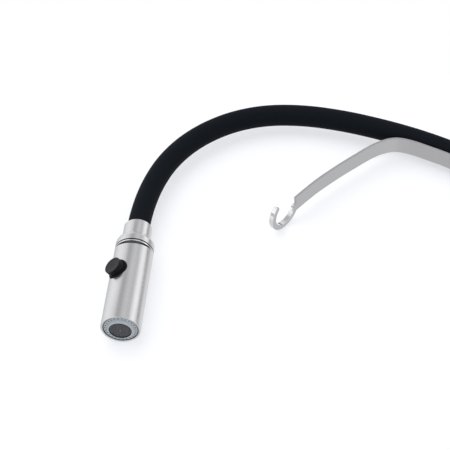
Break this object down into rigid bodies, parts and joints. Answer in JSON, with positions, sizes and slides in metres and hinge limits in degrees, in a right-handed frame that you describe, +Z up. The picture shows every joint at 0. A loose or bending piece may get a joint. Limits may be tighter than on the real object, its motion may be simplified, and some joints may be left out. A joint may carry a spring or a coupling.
{
  "type": "pre rinse faucet",
  "caption": "Deck-mounted pre rinse faucet: side-lever mixer, slim swivel column, flat steel arm with an open hook, black flexible hose and cylindrical spray head with a push button.",
  "frame": {"origin": "on the column axis, in the plane of the deck (underside of the base gasket)", "axes": "+Z up along the column, +X towards the side the arm and spray head reach out, +Y the lever side"},
  "size_m": [0.3925, 0.0977, 0.6909],
  "materials": {
    "brushed_stainless": "brushed along the part",
    "satin_strip": "satin, fine bead-blasted",
    "black_rubber": "matte",
    "button_rubber": "soft satin",
    "grey_plastic": "satin",
    "white_plastic": "moulded",
    "black_plastic": "moulded",
    "brass": "machined",
    "plated_brass": "plated, satin",
    "seal_rubber": "matte",
    "braided_hose": "braided",
    "ceramic": "lapped ceramic",
    "zinc_steel": "zinc plated",
    "copper_tube": "drawn tube"
  },
  "bodies": {
    "mixer": {"mixer_body": "brushed_stainless", "swivel_o_ring": "seal_rubber", "base_flange": "brushed_stainless", "base_gasket": "seal_rubber", "threaded_shank": "brass", "rubber_washer": "seal_rubber", "steel_washer": "zinc_steel", "shank_nut": "zinc_steel", "tail_stubs": "plated_brass", "tail_hoses": "braided_hose", "tail_unions": "plated_brass", "cartridge_housing": "white_plastic", "ceramic_disc_fixed": "ceramic", "cartridge_nut": "brass", "dome_cover": "brushed_stainless", "riser_tube": "copper_tube"},
    "column": {"column_tube": "brushed_stainless", "column_socket": "brushed_stainless", "top_bush": "black_plastic", "arm_strip": "satin_strip", "arm_hook": "satin_strip", "arm_clamp": "satin_strip", "clamp_screws": "zinc_steel"},
    "hose_foot": {"hose_root": "black_rubber", "root_connector": "brass"},
    "hose_01": {"hose_link_01": "black_rubber"},
    "hose_02": {"hose_link_02": "black_rubber"},
    "hose_03": {"hose_link_03": "black_rubber"},
    "hose_04": {"hose_link_04": "black_rubber"},
    "hose_05": {"hose_link_05": "black_rubber"},
    "hose_06": {"hose_link_06": "black_rubber"},
    "hose_07": {"hose_link_07": "black_rubber"},
    "hose_08": {"hose_link_08": "black_rubber"},
    "hose_09": {"hose_link_09": "black_rubber"},
    "hose_10": {"hose_link_10": "black_rubber"},
    "hose_11": {"hose_link_11": "black_rubber"},
    "hose_end": {"hose_tip": "black_rubber", "hose_ferrule": "brushed_stainless", "hose_collar": "brushed_stainless", "hose_nipple": "brass", "collar_o_ring": "seal_rubber"},
    "head": {"head_shell": "brushed_stainless", "head_core": "black_plastic", "nozzle_plate": "grey_plastic", "face_seal": "seal_rubber", "aerator_housing": "black_plastic", "aerator_mesh": "black_plastic", "neck_adaptor": "black_plastic", "neck_ring": "brushed_stainless", "check_valve_cage": "black_plastic", "button_saddle": "button_rubber", "button_spring": "zinc_steel"},
    "button": {"button_cap": "button_rubber", "diverter_plunger": "brass"},
    "lever_rotor": {"cartridge_yoke": "white_plastic", "yoke_pin": "zinc_steel"},
    "lever_arm": {"lever": "brushed_stainless", "lever_stem": "plated_brass"},
    "disc": {"ceramic_disc_moving": "ceramic", "disc_carrier": "white_plastic"}
  },
  "joints": [
    {"name": "column_swivel", "type": "hinge", "parent": "mixer", "child": "column", "pos_m": [0, 0, 0.118], "axis": [0, 0, 1], "range_deg": [-120, 120]},
    {"name": "hose_swing", "type": "hinge", "parent": "column", "child": "hose_foot", "pos_m": [0, 0, 0.22], "axis": [0, 0, 1], "range_deg": [-60, 60]},
    {"name": "hose_flex_01", "type": "hinge", "parent": "hose_foot", "child": "hose_01", "pos_m": [0, 0, 0.2381], "axis": [0, 1, 0], "range_deg": [-4.75, 0.02], "stiffness_Nm_per_rad": 20, "springref_deg": -2.58},
    {"name": "hose_lean", "type": "hinge", "parent": "hose_01", "child": "hose_02", "pos_m": [0.00136, 0, 0.2594], "axis": [0, 1, 0], "range_deg": [-6.5, 0], "stiffness_Nm_per_rad": 20, "springref_deg": -2.56},
    {"name": "hose_flex_03", "type": "hinge", "parent": "hose_02", "child": "hose_03", "pos_m": [0.00867, 0, 0.29475], "axis": [0, 1, 0], "range_deg": [-1.05, 0.02], "stiffness_Nm_per_rad": 20, "springref_deg": -2.49},
    {"name": "hose_lower_bend", "type": "hinge", "parent": "hose_03", "child": "hose_04", "pos_m": [0.02024, 0, 0.3313], "axis": [0, 1, 0], "range_deg": [-3.85, 7], "stiffness_Nm_per_rad": 20, "springref_deg": -2.38},
    {"name": "hose_flex_05", "type": "hinge", "parent": "hose_04", "child": "hose_05", "pos_m": [0.03438, 0, 0.36612], "axis": [0, 1, 0], "range_deg": [-4.99, 9.04], "stiffness_Nm_per_rad": 20, "springref_deg": -2.24},
    {"name": "hose_flex_06", "type": "hinge", "parent": "hose_05", "child": "hose_06", "pos_m": [0.05222, 0, 0.3982], "axis": [0, 1, 0], "range_deg": [-4.26, 7.7], "stiffness_Nm_per_rad": 20, "springref_deg": -2.07},
    {"name": "hose_upper_bend", "type": "hinge", "parent": "hose_06", "child": "hose_07", "pos_m": [0.0757, 0, 0.42585], "axis": [0, 1, 0], "range_deg": [-2.14, 3.9], "stiffness_Nm_per_rad": 20, "springref_deg": -1.86},
    {"name": "hose_flex_08", "type": "hinge", "parent": "hose_07", "child": "hose_08", "pos_m": [0.10576, 0, 0.44522], "axis": [0, 1, 0], "range_deg": [-2.69, 4.85], "stiffness_Nm_per_rad": 20, "springref_deg": -1.59},
    {"name": "hose_flex_09", "type": "hinge", "parent": "hose_08", "child": "hose_09", "pos_m": [0.14159, 0, 0.4554], "axis": [0, 1, 0], "range_deg": [-3.23, 5.82], "stiffness_Nm_per_rad": 20, "springref_deg": -1.28},
    {"name": "hose_end_bend", "type": "hinge", "parent": "hose_09", "child": "hose_10", "pos_m": [0.17762, 0, 0.45517], "axis": [0, 1, 0], "range_deg": [-3.48, 6.32], "stiffness_Nm_per_rad": 20, "springref_deg": -0.98},
    {"name": "hose_flex_11", "type": "hinge", "parent": "hose_10", "child": "hose_11", "pos_m": [0.21262, 0, 0.44526], "axis": [0, 1, 0], "range_deg": [-5.78, 10.48], "stiffness_Nm_per_rad": 20, "springref_deg": -0.7},
    {"name": "hose_flex_12", "type": "hinge", "parent": "hose_11", "child": "hose_end", "pos_m": [0.24613, 0, 0.42847], "axis": [0, 1, 0], "range_deg": [-6.96, 12.62], "stiffness_Nm_per_rad": 20, "springref_deg": -0.43},
    {"name": "head_swivel", "type": "hinge", "parent": "hose_end", "child": "head", "pos_m": [0.27968, 0, 0.40518], "axis": [-0.8214, 0, 0.5704], "continuous": true},
    {"name": "button_press", "type": "slide", "parent": "head", "child": "button", "axis": [-0.3512, -0.788, -0.5057], "range_m": [0, 0.0025], "stiffness_N_per_m": 900, "springref_m": -0.0004, "deforming": ["button_spring"]},
    {"name": "lever_turn", "type": "hinge", "parent": "mixer", "child": "lever_rotor", "pos_m": [0, 0.036, 0.07], "axis": [0, 1, 0], "range_deg": [-50, 50]},
    {"name": "lever_lift", "type": "hinge", "parent": "lever_rotor", "child": "lever_arm", "pos_m": [0, 0.036, 0.07], "axis": [-1, 0, 0], "range_deg": [0, 25], "stiffness_Nm_per_rad": 0.5, "springref_deg": -3.24},
    {"name": "disc_slide", "type": "slide", "parent": "lever_rotor", "child": "disc", "axis": [0, 0, 1], "range_m": [0, 0.0047]}
  ],
  "couplings": [
    {"joint": "hose_flex_01", "follows": "hose_lean", "ratio": 0.7231},
    {"joint": "hose_flex_03", "follows": "hose_lean", "ratio": 0.1538},
    {"joint": "hose_flex_05", "follows": "hose_lower_bend", "ratio": 1.284},
    {"joint": "hose_flex_06", "follows": "hose_lower_bend", "ratio": 1.093},
    {"joint": "hose_flex_08", "follows": "hose_upper_bend", "ratio": 1.2329},
    {"joint": "hose_flex_09", "follows": "hose_upper_bend", "ratio": 1.4822},
    {"joint": "hose_flex_11", "follows": "hose_end_bend", "ratio": 1.6502},
    {"joint": "hose_flex_12", "follows": "hose_end_bend", "ratio": 1.9892},
    {"joint": "disc_slide", "follows": "lever_lift", "m_per_rad": 0.010657}
  ]
}
